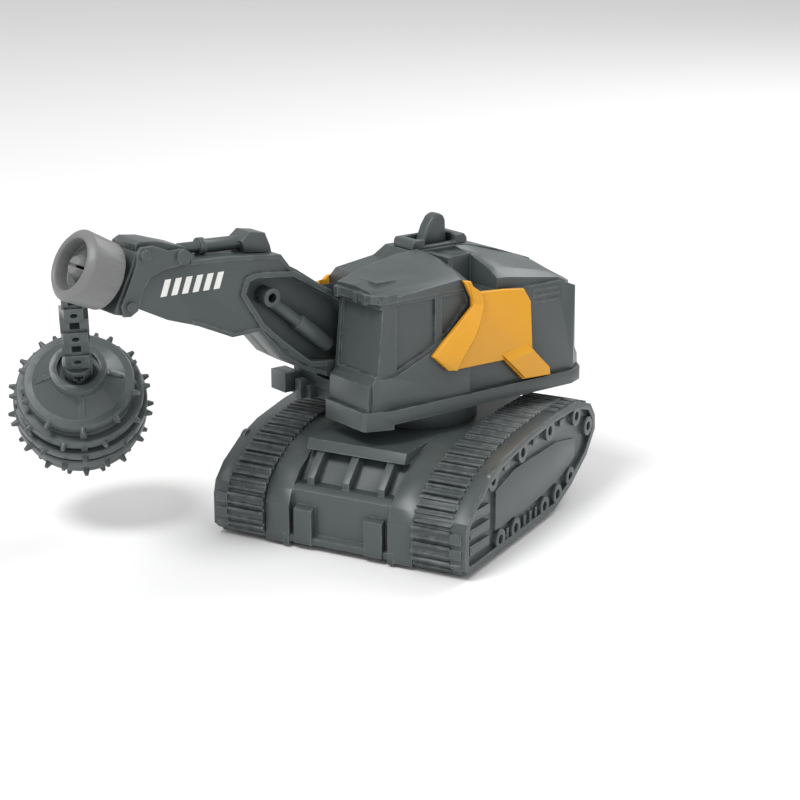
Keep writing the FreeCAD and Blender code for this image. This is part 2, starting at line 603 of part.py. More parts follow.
def roofGuard():
    """Low rim round the exhaust, its near wall lower."""
    rim = box("guard_rim", (-4.8, -0.8, 38.2), (-0.2, 9.2, 39.6))
    well = box("guard_well", (-4.1, 0.6, 37.0), (-1.3, 7.4, 41.0))
    near = box("guard_near", (-1.4, 1.4, 38.6), (0.5, 7.0, 41.0))
    nose = prism("guard_nose", "YZ_Plane", [(-3.0, 38.0), (-3.0, 41), (0.4, 41.0), (-0.8, 39.1), (-0.8, 38.0)], 9, offset=-8)
    tail = prism("guard_tail", "YZ_Plane", [(7.7, 41.0), (9.2, 38.9), (9.2, 38.0), (11.0, 38.0), (11.0, 41.0)], 9, offset=-8)
    body = cut("guard_all", rim, [well, near, nose, tail])
    return finish(body, "roof_guard", housePlace)


def boomOutline():
    """Side outline of the boom, (y, z), from the tip back over the elbow to its foot."""
    return [(-47.4, 37.1), (-46.0, 36.9), (-45.0, 36.4), (-41.6, 34.7), (-37.1, 33.2), (-34.5, 32.0), (-31.8, 30.8), (-27.6, 30.9),
            (-23.7, 26.3), (-20.6, 24.5), (-15.5, 22.3), (-11.0, 21.2), (-9.9, 22.0), (-8.7, 30.0), (-10.6, 32.4),
            (-14.2, 34.2), (-17.3, 35.9), (-21.3, 38.6), (-22.4, 39.2), (-23.8, 41.0), (-31.8, 41.8), (-38.0, 42.1),
            (-42.5, 42.2), (-44.8, 42.4)]


def boomHalf(side, sign):
    """One moulded half of the boom, split on its centre plane, with the elbow pocket."""
    middle, half = size("boomPlane"), size("boomHalf")
    start = middle if sign > 0 else middle - half
    body = prism(f"boom_{side}", "YZ_Plane", boomOutline(), "sizes.boomHalf", offset=start)
    hollow = [(-29.6, 36.4), (-29.0, 38.0), (-27.8, 38.3), (-21.9, 37.7), (-14.2, 33.2), (-12.4, 30.5), (-12.4, 24.4),
              (-19.1, 25.3), (-20.8, 26.6), (-24.0, 29.3), (-26.8, 31.9)]
    face = middle + sign * half
    deep = 2.2
    cutPrism(body, "YZ_Plane", hollow, deep, face - deep if sign > 0 else face)
    # raised frame round the pocket
    wire = Part.makePolygon([Vector(y, z, 0) for y, z in hollow + hollow[:1]])
    outer = Part.Face(wire).makeOffset2D(0.75)
    frame = outer.cut(Part.Face(wire)).extrude(Vector(0, 0, 0.35))
    frame.transformShape(FreeCAD.Matrix(0, 0, 1, 0, 1, 0, 0, 0, 0, 1, 0, 0, 0, 0, 0, 1))
    frame.translate(Vector(face if sign > 0 else face - 0.35, 0, 0))
    line = Part.makePolygon([Vector(y, z, 0) for y, z in boomOutline() + boomOutline()[:1]])
    edge = Part.Face(line).cut(Part.Face(line).makeOffset2D(-0.55)).extrude(Vector(0, 0, 0.2))
    edge.transformShape(FreeCAD.Matrix(0, 0, 1, 0, 1, 0, 0, 0, 0, 1, 0, 0, 0, 0, 0, 1))
    edge.translate(Vector(face if sign > 0 else face - 0.2, 0, 0))
    keep = Part.makeBox(20, 21.4, 40, Vector(-13, -37.9, 22.0))
    ring = doc.addObject("Part::Feature", f"boom_{side}_frame")
    ring.Shape = frame.fuse(edge).common(keep)
    whole = fuse(f"boom_{side}_whole", [body, ring])
    return finish(whole, f"boom_half_{side}", housePlace)


def boomTube():
    """Hollow elbow pin through both halves, seen in the pockets."""
    middle, half = size("boomPlane"), size("boomHalf")
    y, z = -25.3, 35.2
    parts = []
    for sign in (1, -1):
        base = (middle + sign * (half - 2.2), y, z)
        ring = cylinder(f"tube_{sign + 1}", 1.3, 2.5, base, (sign, 0, 0))
        hole = cylinder(f"tube_hole_{sign + 1}", 0.65, 3, base, (sign, 0, 0))
        parts.append(cut(f"tube_end_{sign + 1}", ring, [hole]))
    return finish(group("boom_tube_ends", parts), "elbow_pin_caps", housePlace)


def liftCylinders():
    """Lift cylinders lying in the pockets on both sides."""
    middle, half = size("boomPlane"), size("boomHalf")
    a, b = Vector(0, -24.4, 34.2), Vector(0, -14.2, 25.9)
    along = (b - a).normalize()
    items = []
    for sign in (1, -1):
        x = middle + sign * (half - 1.0)
        start = Vector(x, a.y, a.z)
        rod = cylinder(f"lift_rod_{sign + 1}", 0.85, 5.4, start, tuple(along))
        tube = cylinder(f"lift_tube_{sign + 1}", 1.15, 6.6, start + along * 5.0, tuple(along))
        items.append(fuse(f"lift_{sign + 1}", [rod, tube]))
    return finish(group("lift_group", items), "lift_cylinders", housePlace)


def stickCylinder():
    """Cylinder on top of the boom, with its collar and rear clevis."""
    middle = size("boomPlane")
    a, b = Vector(middle, -37.9, 43.1), Vector(middle, -27.0, 42.7)
    along = (b - a).normalize()
    rod = cylinder("stick_rod", 0.75, (b - a).Length, a, tuple(along))
    barrel = cylinder("stick_barrel", 0.95, 7.0, a + along * 3.7, tuple(along))
    collar = cylinder("stick_collar", 1.2, 0.9, a + along * 3.0, tuple(along))
    clevis = prism("clevis", "YZ_Plane", [(-28.4, 41.6), (-29.0, 43.2), (-27.6, 44.3), (-25.2, 43.9), (-24.4, 42.0),
                                          (-24.2, 41.1)], 3.4, offset=middle - 1.7)
    whole = fuse("stick_whole", [rod, barrel, collar, clevis])
    seat = prism("stick_seat", "YZ_Plane", [(-42.5, 42.2), (-38.0, 42.1), (-31.8, 41.8), (-23.8, 41.0), (-23.0, 40.0),
                                            (-42.5, 40.0)], 8, offset=middle - 4)
    return finish(cut("stick_all", whole, [seat]), "stick_cylinder", housePlace)


def tipCover():
    """Cap over the boom's tip, ending in the round pivot boss."""
    middle = size("boomPlane")
    outline = [(-44.75, 42.45), (-42.5, 42.2), (-39.9, 42.15), (-38.0, 42.5), (-38.4, 43.9), (-40.4, 44.5),
               (-42.6, 45.2), (-45.0, 45.5), (-45.7, 45.2), (-45.65, 44.36), (-44.2, 43.66)]
    body = prism("tip_cap", "YZ_Plane", outline, 5.4, offset=middle - 2.7)
    cheek = [(-46.0, 44.1), (-45.4, 44.9), (-43.6, 44.9), (-41.2, 43.9), (-39.4, 43.9), (-38.3, 43.3), (-38.3, 42.3),
             (-39.3, 41.8), (-42.2, 41.5), (-44.2, 40.8), (-45.2, 39.4), (-46.2, 36.7), (-47.3, 36.1), (-48.3, 36.2),
             (-48.6, 37.6), (-46.2, 42.6)]
    items = [body]
    for sign in (1, -1):
        face = middle + sign * size("boomHalf")
        items.append(prism(f"tip_cheek_{sign + 1}", "YZ_Plane", cheek, 0.45, offset=face if sign > 0 else face - 0.45))
        for k, (y, z, radius) in enumerate(((-44.9, 43.8, 0.75), (-47.3, 37.4, 0.65), (-39.3, 42.85, 1.0))):
            items.append(cylinder(f"tip_bolt_{k}_{sign + 1}", radius, 0.85, (face, y, z), (sign, 0, 0)))
    return finish(fuse("tip_cover_all", items), "tip_cover", housePlace)


def tipBracket():
    """End plate of the boom, square to the drum axis, that carries the split pin."""
    def at(along, up):
        """House (y, z) of a point given along the drum axis and square to it."""
        pitch = math.radians(size("drumPitch"))
        y = size("drumReach") - along * math.cos(pitch) - up * math.sin(pitch)
        z = size("drumHeight") + along * math.sin(pitch) - up * math.cos(pitch)
        return (y, z)
    front = -(size("drumLong") + size("drumGap"))
    outline = [at(front, -4.4), at(front, 4.2), at(front - 1.6, 3.9), at(front - 1.6, -4.4)]
    half = size("boomHalf")
    body = prism("tip_plate", "YZ_Plane", outline, 2 * half, offset=size("boomPlane") - half)
    return finish(body, "tip_bracket", housePlace)


def splitPin():
    """Snap pin on the drum axis: shank, barbed head and the slot that lets it spring."""
    long = size("drumLong")
    gap = size("drumGap")
    shank = cylinder("snap_shank", "sizes.pinRadius", long + gap - 1.6, (-long - gap, 0, 0), (1, 0, 0))
    shoulder = cylinder("snap_shoulder", 2.6, gap - 0.12, (-long - gap, 0, 0), (1, 0, 0))
    head = cone("snap_head", 1.9, 1.1, 1.3, (-1.85, 0, 0), (1, 0, 0))
    whole = fuse("snap_whole", [shank, shoulder, head])
    slit = box("snap_slit", (-3.9, -3, -0.18), (1, 3, 0.18))
    return finish(cut("snap_all", whole, [slit]), "split_pin", drumPlace)


def boomScrews():
    """Two screws that clamp the boom halves, on the right side."""
    middle, half = size("boomPlane"), size("boomHalf")
    spots = [(-40.0, 38.0), (-33.0, 37.4)]
    items = [cylinder(f"boom_screw_{k}", 0.9, 0.5, (middle - half, y, z), (-1, 0, 0)) for k, (y, z) in enumerate(spots)]
    return finish(group("boom_screw_group", items), "boom_screws", housePlace)


def houseScrews():
    """Screws up through the deck into the house."""
    items = [screw(f"house_screw_{k}", x, y, size("deckBottom") - 0.01, 0.9, radius=0.6)
             for k, (x, y) in enumerate(screwSpots)]
    return finish(group("house_screw_group", items), "house_screws", housePlace)


# ---------------------------------------------------------------- wrecking ball
def drum():
    """Cup that turns on the split pin: chamfered lip, deep mouth, floor with the pin hole."""
    body = newBody("drum")
    sk = sketch(body, "XZ_Plane")
    outer, back, long, mouth = size("drumRadius"), size("drumBack"), size("drumLong"), size("boreRadius")
    hole = size("pinRadius") + size("pinClear")
    polygon(sk, [(-long, hole), (-long, back), (-0.75, outer), (-0.1, outer - 0.75), (0.0, mouth + 0.35),
                 (-0.3, mouth), (-2.1, mouth - 0.15), (-2.1, hole)])
    doc.recompute()
    turn = body.newObject("PartDesign::Revolution", "drum_turn")
    turn.Profile = sk
    turn.ReferenceAxis = ([f for f in body.Origin.OriginFeatures if f.Role == "X_Axis"][0], [""])
    turn.Angle = 360
    doc.recompute()
    return finish(body, "swing_drum", swingPlace)


def chainLine(distance):
    """Point on the chain's middle line, in the swing frame."""
    lean = math.radians(size("chainLean"))
    return Vector(-math.sin(lean) * distance, 0, -math.cos(lean) * distance)


def chainPlace(distance):
    """Frame at a distance down the chain: +Z back towards the drum."""
    return Placement(chainLine(distance), Rotation(Vector(0, 1, 0), size("chainLean")))


def footHeight():
    """Floor of the ball's top boss, where the chain ends, above the ball centre."""
    return size("ballRadius") * 0.80 + 1.2


def chainBar():
    """Rigid moulded chain: flat and edge-on links in turn, with windows between them."""
    wide, thick = size("chainWide"), size("chainThick")
    first, last = 5.6, size("chainReach") - footHeight() - 0.2
    count = 7
    pitch = (last - first) / count
    links = []
    for k in range(count):
        here = first + k * pitch
        edgeOn = k % 2 == 1
        broad = wide if here > 11 else size("chainNeck")
        halfX, halfY = (broad / 2 - 0.25, thick / 2 + 0.3) if edgeOn else (broad / 2, thick / 2)
        link = Part.makeBox(2 * halfX, 2 * halfY, pitch + 0.4, Vector(-halfX, -halfY, -pitch - 0.2))
        hole = Part.makeCylinder(0.5, 2 * halfY + 1, Vector(0, -halfY - 0.5, -pitch * 0.5), Vector(0, 1, 0))
        if not edgeOn:
            hole = Part.makeBox(1.3, 2 * halfY + 1, pitch * 0.55, Vector(-0.65, -halfY - 0.5, -pitch * 0.78))
        link = link.cut(hole)
        link.Placement = chainPlace(here)
        links.append(link)
    neck = size("chainNeck")
    root = Part.makeBox(neck, thick, 4.6, Vector(-neck / 2, -thick / 2, -0.4))
    root.Placement = chainPlace(first)
    foot = Part.makeCylinder(2.1, 2.6, Vector(0, 0, -0.2))
    foot = foot.cut(Part.makeBox(1.2, 6, 1.0, Vector(-0.6, -3, 0.5))).cut(Part.makeBox(0.5, 6, 0.9, Vector(-0.25, -3, -0.1)))
    foot.Placement = chainPlace(last)
    shape = links[0].multiFuse(links[1:] + [root, foot])
    drumSolid = Part.makeCylinder(size("drumRadius") + 0.02, size("drumLong") + 2, Vector(-size("drumLong") - 1, 0, 0),
                                  Vector(1, 0, 0))
    shape = shape.cut(drumSolid).removeSplitter()
    item = doc.addObject("Part::Feature", "chain_bar")
    item.Shape = shape
    return finish(item, "chain_bar", swingPlace)


def ball():
    """Ball of stacked thick discs on a core, with spines, a top boss and rings of pointed studs."""
    radius, gap = size("ballRadius"), size("discGap")
    thick = size("discThick")
    profile = [(0.0, -radius + 0.6), (3.6, -radius + 0.8)]
    rims = []
    low = -3 * (thick + gap)
    for k in range(6):
        bottom = low + k * (thick + gap)
        reach = math.sqrt(radius ** 2 - (bottom + thick / 2) ** 2)
        rims.append((bottom + thick / 2, reach))
        profile += [(reach - 1.2, bottom), (reach - 0.2, bottom), (reach, bottom + 0.2), (reach, bottom + thick - 0.2),
                    (reach - 0.2, bottom + thick), (reach - 1.2, bottom + thick)]
    profile += [(3.9, footHeight() - 0.9), (3.9, footHeight() + 0.8), (2.9, footHeight() + 0.8), (2.9, footHeight()),
                (0.0, footHeight())]
    wire = Part.makePolygon([Vector(x, 0, z) for x, z in profile + profile[:1]])
    shape = Part.Face(wire).revolve(Vector(), Vector(0, 0, 1), 360)
    studs = 10
    for k, (middle, reach) in enumerate(rims):
        for n in range(studs):
            angle = 2 * math.pi * (n + 0.5 * (k % 2)) / studs
            direction = Vector(math.cos(angle), math.sin(angle), 0.5 * middle / radius).normalize()
            start = Vector(math.cos(angle), math.sin(angle), 0) * (reach - 0.55) + Vector(0, 0, middle)
            shape = shape.fuse(Part.makeCone(0.7, 0.25, size("studHigh") + 0.55, start, direction))
    for angle in (0, 90):
        spine = Part.makeCylinder(radius - 0.45, 0.8, Vector(0, 0, 0), Vector(0, 1, 0)).translated(Vector(0, -0.4, 0))
        spine.rotate(Vector(), Vector(0, 0, 1), angle)
        shape = shape.fuse(spine)
    shape = shape.cut(Part.makeCylinder(2.9, 3.0, Vector(0, 0, footHeight()))).removeSplitter()
    item = doc.addObject("Part::Feature", "ball")
    item.Shape = shape
    item.Placement = swingPlace.multiply(chainPlace(size("chainReach")))
    return finish(item, "wrecking_ball", item.Placement)


# ---------------------------------------------------------------- build
chassisShell()
basePlate()
baseScrews()
turntableCollar()
for side, sign in (("left", 1), ("right", -1)):
    track(side, sign)
    trackCover(side, sign)
for end in ("front", "rear"):
    axleSet(end)
deckPlate()
swivelPost()
swivelWasher()
swivelScrew()
houseShell()
cabShell()
yellowPanel()
yellowPanelRight()
exhaust()
roofGuard()
for side, sign in (("left", 1), ("right", -1)):
    boomHalf(side, sign)
boomTube()
liftCylinders()
stickCylinder()
tipCover()
tipBracket()
splitPin()
boomScrews()
houseScrews()
drum()
chainBar()
ball()

doc.recompute()
for item in doc.Objects:
    if "Invalid" in item.State or "Error" in item.State:
        raise RuntimeError("failed object: " + item.Name)
os.makedirs("parts", exist_ok=True)
for item in nodes:
    shape = item.Shape
    if shape.isNull() or not shape.isValid() or not shape.Solids:
        raise RuntimeError("bad shape: " + item.Label)
    shape.exportStep(f"parts/{item.Label}.step")
    print(item.Label, len(shape.Solids), "solids", round(shape.Volume, 1), "mm3")
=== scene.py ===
import bpy, bmesh, json, math
from mathutils import Matrix, Vector


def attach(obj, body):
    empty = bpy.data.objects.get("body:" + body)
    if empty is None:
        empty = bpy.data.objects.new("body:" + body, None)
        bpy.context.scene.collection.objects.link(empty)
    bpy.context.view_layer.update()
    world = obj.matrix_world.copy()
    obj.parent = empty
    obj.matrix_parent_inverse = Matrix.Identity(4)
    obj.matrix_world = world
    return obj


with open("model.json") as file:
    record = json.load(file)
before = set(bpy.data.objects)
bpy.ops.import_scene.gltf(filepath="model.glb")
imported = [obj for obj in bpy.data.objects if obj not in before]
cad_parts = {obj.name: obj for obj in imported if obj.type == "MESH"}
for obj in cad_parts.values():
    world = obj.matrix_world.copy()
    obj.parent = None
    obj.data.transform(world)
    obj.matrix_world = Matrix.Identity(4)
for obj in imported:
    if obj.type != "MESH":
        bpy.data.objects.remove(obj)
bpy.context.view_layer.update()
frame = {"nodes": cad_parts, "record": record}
nodes = frame["nodes"]
mm = 0.001
print("frame loaded:", len(nodes), "nodes")

view = {"position": (123.9, -240.6, 98.4), "aim": (-0.446, 0.846, -0.291), "lens": 87.7}  # mm, mm of lens


def addCamera():
    data = bpy.data.cameras.new("camera")
    data.lens, data.sensor_width = view["lens"], 36
    data.clip_start, data.clip_end = 0.01, 20
    camera = bpy.data.objects.new("camera", data)
    camera.location = Vector(view["position"]) * mm
    camera.rotation_euler = Vector(view["aim"]).to_track_quat("-Z", "Y").to_euler()
    bpy.context.scene.collection.objects.link(camera)
    bpy.context.scene.camera = camera


# each lamp's place, size and power, in metres and watts
lighting = {"key": ((-0.10, -0.30, 0.52), 0.2, 1.9), "fill": ((0.42, -0.22, 0.22), 0.4, 0.3),
            "rim": ((0.10, 0.42, 0.36), 0.3, 1.0), "sky": 0.62,
            "floorHalf": 4, "floorPale": (0.93, 0.93, 0.93, 1), "floorRough": 0.9}


def addLight(name, place, size, power):
    data = bpy.data.lights.new(name, "AREA")
    data.shape, data.size, data.energy = "DISK", size, power
    lamp = bpy.data.objects.new(name, data)
    lamp.location = place
    lamp.rotation_euler = (Vector((0, 0, 0.02)) - Vector(place)).to_track_quat("-Z", "Y").to_euler()
    bpy.context.scene.collection.objects.link(lamp)


def addStudio():
    mesh = bpy.data.meshes.new("floor")
    bm = bmesh.new()
    half = lighting["floorHalf"]
    for x, y in ((-half, -half), (half, -half), (half, half), (-half, half)):
        bm.verts.new((x, y, 0))
    bm.faces.new(bm.verts)
    bm.to_mesh(mesh)
    bm.free()
    floor = bpy.data.objects.new("floor", mesh)
    bpy.context.scene.collection.objects.link(floor)
    paint = bpy.data.materials.new("floorPaper")
    paint.use_nodes = True
    shader = paint.node_tree.nodes["Principled BSDF"]
    shader.inputs["Base Color"].default_value = lighting["floorPale"]
    shader.inputs["Roughness"].default_value = lighting["floorRough"]
    mesh.materials.append(paint)
    for name in ("key", "fill", "rim"):
        addLight(name, *lighting[name])
    world = bpy.data.worlds.new("studio")
    world.use_nodes = True
    world.node_tree.nodes["Background"].inputs["Color"].default_value = (1, 1, 1, 1)
    world.node_tree.nodes["Background"].inputs["Strength"].default_value = lighting["sky"]
    bpy.context.scene.world = world
    bpy.context.scene.view_settings.view_transform = "Standard"


addCamera()
addStudio()
print("camera and studio ready")


def newGroup(name, inputs, outputs):
    group = bpy.data.node_groups.new(name, "ShaderNodeTree")
    for label, kind, value in inputs:
        socket = group.interface.new_socket(name=label, in_out="INPUT", socket_type=kind)
        if value is not None:
            socket.default_value = value
    for label, kind in outputs:
        group.interface.new_socket(name=label, in_out="OUTPUT", socket_type=kind)
    return group, group.nodes.new("NodeGroupInput"), group.nodes.new("NodeGroupOutput")


def mathNode(tree, operation, a, b=None, clamp=False):
    node = tree.nodes.new("ShaderNodeMath")
    node.operation, node.use_clamp = operation, clamp
    for slot, value in enumerate((a, b)):
        if value is None:
            continue
        if isinstance(value, (int, float)):
            node.inputs[slot].default_value = value
        else:
            tree.links.new(value, node.inputs[slot])
    return node.outputs[0]


def noiseNode(tree, scale, detail=3.0, roughness=0.6):
    place = tree.nodes.new("ShaderNodeTexCoord")
    noise = tree.nodes.new("ShaderNodeTexNoise")
    tree.links.new(place.outputs["Object"], noise.inputs["Vector"])
    if isinstance(scale, (int, float)):
        noise.inputs["Scale"].default_value = scale
    else:
        tree.links.new(scale, noise.inputs["Scale"])
    noise.inputs["Detail"].default_value = detail
    noise.inputs["Roughness"].default_value = roughness
    return noise.outputs["Fac"]


def mixColour(tree, factor, a, b):
    node = tree.nodes.new("ShaderNodeMix")
    node.data_type = "RGBA"
    tree.links.new(factor, node.inputs[0])
    for socket, value in ((node.inputs[6], a), (node.inputs[7], b)):
        if isinstance(value, tuple):
            socket.default_value = value
        else:
            tree.links.new(value, socket)
    return node.outputs[2]


# paler edges: partly real rubbed wear in noisy patches, partly painted highlight standing in for light caught on
# rounded edges
def buildEdgeWearAndHighlight():
    inputs = [("Width", "NodeSocketFloat", 0.00032), ("Amount", "NodeSocketFloat", 0.5)]
    group, start, end = newGroup("edgeWearAndHighlight", inputs, [("Mask", "NodeSocketFloat")])
    bevel = group.nodes.new("ShaderNodeBevel")
    bevel.samples = 4
    group.links.new(start.outputs["Width"], bevel.inputs["Radius"])
    geometry = group.nodes.new("ShaderNodeNewGeometry")
    dot = group.nodes.new("ShaderNodeVectorMath")
    dot.operation = "DOT_PRODUCT"
    group.links.new(bevel.outputs["Normal"], dot.inputs[0])
    group.links.new(geometry.outputs["Normal"], dot.inputs[1])
    bend = mathNode(group, "SUBTRACT", 1.0, dot.outputs["Value"])
    edge = mathNode(group, "MULTIPLY", bend, 7.0, True)
    spots = mathNode(group, "SUBTRACT", noiseNode(group, 700.0), 0.38)
    patch = mathNode(group, "MULTIPLY", spots, 4.0, True)
    wornAndHighlight = mathNode(group, "MULTIPLY", edge, patch)
    mask = mathNode(group, "MULTIPLY", wornAndHighlight, start.outputs["Amount"], True)
    group.links.new(mask, end.inputs["Mask"])
    return group


def buildMouldGrain():
    inputs = [("Fine", "NodeSocketFloat", 6000.0), ("Broad", "NodeSocketFloat", 120.0)]
    group, start, end = newGroup("mouldGrain", inputs,
                                 [("Height", "NodeSocketFloat"), ("Cloud", "NodeSocketFloat")])
    fine = noiseNode(group, start.outputs["Fine"], 4.0, 0.65)
    broad = noiseNode(group, start.outputs["Broad"], 2.0, 0.5)
    finePart = mathNode(group, "MULTIPLY", fine, 0.6)
    broadPart = mathNode(group, "MULTIPLY", broad, 0.4)
    group.links.new(mathNode(group, "ADD", finePart, broadPart), end.inputs["Height"])
    group.links.new(broad, end.inputs["Cloud"])
    return group


# painted shade: darkens creases, recesses and the seams between parts, wherever the ambient occlusion finds the
# surface closed in
def buildCreaseShade():
    inputs = [("Reach", "NodeSocketFloat", 0.0018), ("Amount", "NodeSocketFloat", 1.15)]
    group, start, end = newGroup("creaseShade", inputs, [("Mask", "NodeSocketFloat")])
    near = group.nodes.new("ShaderNodeAmbientOcclusion")
    near.samples = 6
    group.links.new(start.outputs["Reach"], near.inputs["Distance"])
    closed = mathNode(group, "SUBTRACT", 1.0, near.outputs["AO"], True)
    mask = mathNode(group, "MULTIPLY", closed, start.outputs["Amount"], True)
    group.links.new(mask, end.inputs["Mask"])
    return group


edgeWearAndHighlight, mouldGrain, creaseShade = buildEdgeWearAndHighlight(), buildMouldGrain(), buildCreaseShade()


def groupNode(tree, group, **values):
    node = tree.nodes.new("ShaderNodeGroup")
    node.node_tree = group
    for label, value in values.items():
        node.inputs[label].default_value = value
    return node


# what each plastic looks like: colours (base, a paler edge colour for wear and painted highlight, a dark colour
# for painted shade in creases), roughness range, grain height in metres, edge wear and painted highlight
plastics = {
    "bodyGrey": {"base": (0.062, 0.073, 0.0735, 1), "wornAndHighlight": (0.21, 0.23, 0.23, 1),
                 "deep": (0.026, 0.031, 0.032, 1), "rough": (0.3, 0.44), "grain": 0.00002, "wearAndHighlight": 0.8},
    "trackGrey": {"base": (0.056, 0.065, 0.066, 1), "wornAndHighlight": (0.24, 0.255, 0.26, 1),
                  "deep": (0.02, 0.024, 0.025, 1), "rough": (0.36, 0.52), "grain": 0.00003, "wearAndHighlight": 0.9},
    "drumGrey": {"base": (0.165, 0.168, 0.166, 1), "wornAndHighlight": (0.32, 0.325, 0.32, 1),
                 "deep": (0.08, 0.083, 0.083, 1), "rough": (0.34, 0.5), "grain": 0.00002, "wearAndHighlight": 0.5},
    "panelYellow": {"base": (0.72, 0.33, 0.011, 1), "wornAndHighlight": (0.95, 0.55, 0.06, 1),
                    "deep": (0.45, 0.17, 0.006, 1), "rough": (0.3, 0.44), "grain": 0.000015, "wearAndHighlight": 0.5},
    "wheelBlack": {"base": (0.014, 0.014, 0.015, 1), "wornAndHighlight": (0.06, 0.06, 0.06, 1),
                   "deep": (0.008, 0.008, 0.008, 1), "rough": (0.4, 0.55), "grain": 0.00002, "wearAndHighlight": 0.5},
    "printWhite": {"base": (0.82, 0.82, 0.8, 1), "wornAndHighlight": (0.6, 0.6, 0.6, 1),
                   "deep": (0.5, 0.5, 0.5, 1), "rough": (0.45, 0.6), "grain": 0.000008, "wearAndHighlight": 0.3},
    "screwSteel": {"base": (0.5, 0.5, 0.51, 1), "wornAndHighlight": (0.75, 0.75, 0.75, 1),
                   "deep": (0.25, 0.25, 0.26, 1), "rough": (0.25, 0.42), "grain": 0.00001, "wearAndHighlight": 0.5},
}
cloudPaler, grainStrength = 1.16, 0.7


# moulded plastic: clouded colour, fine grain, worn edges that also carry painted highlight, and creases darkened
# with painted shade
def moulded(name):
    look = plastics[name]
    paint = bpy.data.materials.new(name)
    paint.use_nodes = True
    tree = paint.node_tree
    shader = tree.nodes["Principled BSDF"]
    grain = groupNode(tree, mouldGrain)
    wearAndHighlight = groupNode(tree, edgeWearAndHighlight, Amount=look["wearAndHighlight"])
    shadeNode = groupNode(tree, creaseShade)
    base = look["base"]
    paler = tuple(min(1.0, c * cloudPaler) for c in base[:3]) + (1,)
    colour = mixColour(tree, grain.outputs["Cloud"], base, paler)
    # painted shade: the dark colour laid into creases and seams
    colour = mixColour(tree, shadeNode.outputs["Mask"], colour, look["deep"])
    # paler edges: worn patches that also serve as painted edge highlight
    colour = mixColour(tree, wearAndHighlight.outputs["Mask"], colour, look["wornAndHighlight"])
    tree.links.new(colour, shader.inputs["Base Color"])
    spread = tree.nodes.new("ShaderNodeMapRange")
    spread.inputs["To Min"].default_value, spread.inputs["To Max"].default_value = look["rough"]
    tree.links.new(grain.outputs["Cloud"], spread.inputs["Value"])
    tree.links.new(spread.outputs["Result"], shader.inputs["Roughness"])
    bump = tree.nodes.new("ShaderNodeBump")
    bump.inputs["Distance"].default_value = look["grain"]
    bump.inputs["Strength"].default_value = grainStrength
    tree.links.new(grain.outputs["Height"], bump.inputs["Height"])
    tree.links.new(bump.outputs["Normal"], shader.inputs["Normal"])
    if name == "screwSteel":
        shader.inputs["Metallic"].default_value = 1.0
    return paint


paints = {name: moulded(name) for name in plastics}
paintOf = {"grey_plastic": "bodyGrey", "track_plastic": "trackGrey", "light_plastic": "drumGrey",
           "yellow_plastic": "panelYellow", "black_plastic": "wheelBlack", "screw_steel": "screwSteel"}
print("materials ready")

# width in mm of each part's rounded edges; the small parts take the plain one
plainEdge = 0.08
softening = {"chassis_shell": 0.25, "track_left": 0.12, "track_right": 0.12,
             "track_cover_left": 0.3, "track_cover_right": 0.3,
             "house_shell": 0.4, "cab_shell": 0.3, "deck_plate": 0.25,
             "yellow_panel_left": 0.15, "yellow_panel_right": 0.15,
             "boom_half_left": 0.2, "boom_half_right": 0.2, "tip_bracket": 0.2, "tip_cover": 0.3,
             "exhaust_stack": 0.4, "roof_guard": 0.25, "stick_cylinder": 0.15,
             "chain_bar": 0.18, "wrecking_ball": 0.12, "swing_drum": 0.15}
rounding = {"weld": 0.000004, "flat": 1.5, "corner": 24, "steps": 2}  # metres, degrees, degrees, segments


def roundEdges(piece, width):
    edge = piece.modifiers.new("edge", "BEVEL")
    edge.width, edge.segments = width * mm, rounding["steps"]
    edge.limit_method, edge.angle_limit = "ANGLE", math.radians(rounding["corner"])
    edge.harden_normals = True


# weld, clear the triangles off the flats and round the sharp edges as a mould does
def soften(part, width):
    weld = part.modifiers.new("weld", "WELD")
    weld.merge_threshold = rounding["weld"]
    flat = part.modifiers.new("flat", "DECIMATE")
    flat.decimate_type, flat.angle_limit = "DISSOLVE", math.radians(rounding["flat"])
    roundEdges(part, width)
    part.data.shade_smooth()


slotOf = {s["node"]: s["material_slot"] for s in frame["record"]["subparts"]}
for name, part in nodes.items():
    part.data.materials.clear()
    paint = "drumGrey" if name == "split_pin" else paintOf[slotOf[name]]  # the pin is as pale as its drum
    part.data.materials.append(paints[paint])
    soften(part, softening.get(name, plainEdge))
print("carried-over parts finished")

turn = Matrix.Rotation(math.radians(-24.25), 4, "Z")  # the house stands turned on its swivel
sunk = 0.1  # how deep an added piece goes into the wall it sits on, in mm


# pieces are drawn in the house's own axes in mm, then turned and scaled into place
def addPiece(name, bm, paint, width):
    bmesh.ops.recalc_face_normals(bm, faces=bm.faces)
    bmesh.ops.transform(bm, matrix=turn @ Matrix.Scale(mm, 4), verts=bm.verts)
    mesh = bpy.data.meshes.new(name)
    bm.to_mesh(mesh)
    bm.free()
    mesh.materials.append(paints[paint])
    piece = bpy.data.objects.new(name, mesh)
    bpy.context.scene.collection.objects.link(piece)
    roundEdges(piece, width)
    mesh.shade_smooth()
    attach(piece, "house")


# a flat plate on a side wall, from its (y, z) outline
def plate(bm, outline, x0, x1):
    low = [bm.verts.new((x0, y, z)) for y, z in outline]
    high = [bm.verts.new((x1, y, z)) for y, z in outline]
    bm.faces.new(low)
    bm.faces.new(high[::-1])
    for k in range(len(outline)):
        after = (k + 1) % len(outline)
        bm.faces.new((low[k], low[after], high[after], high[k]))


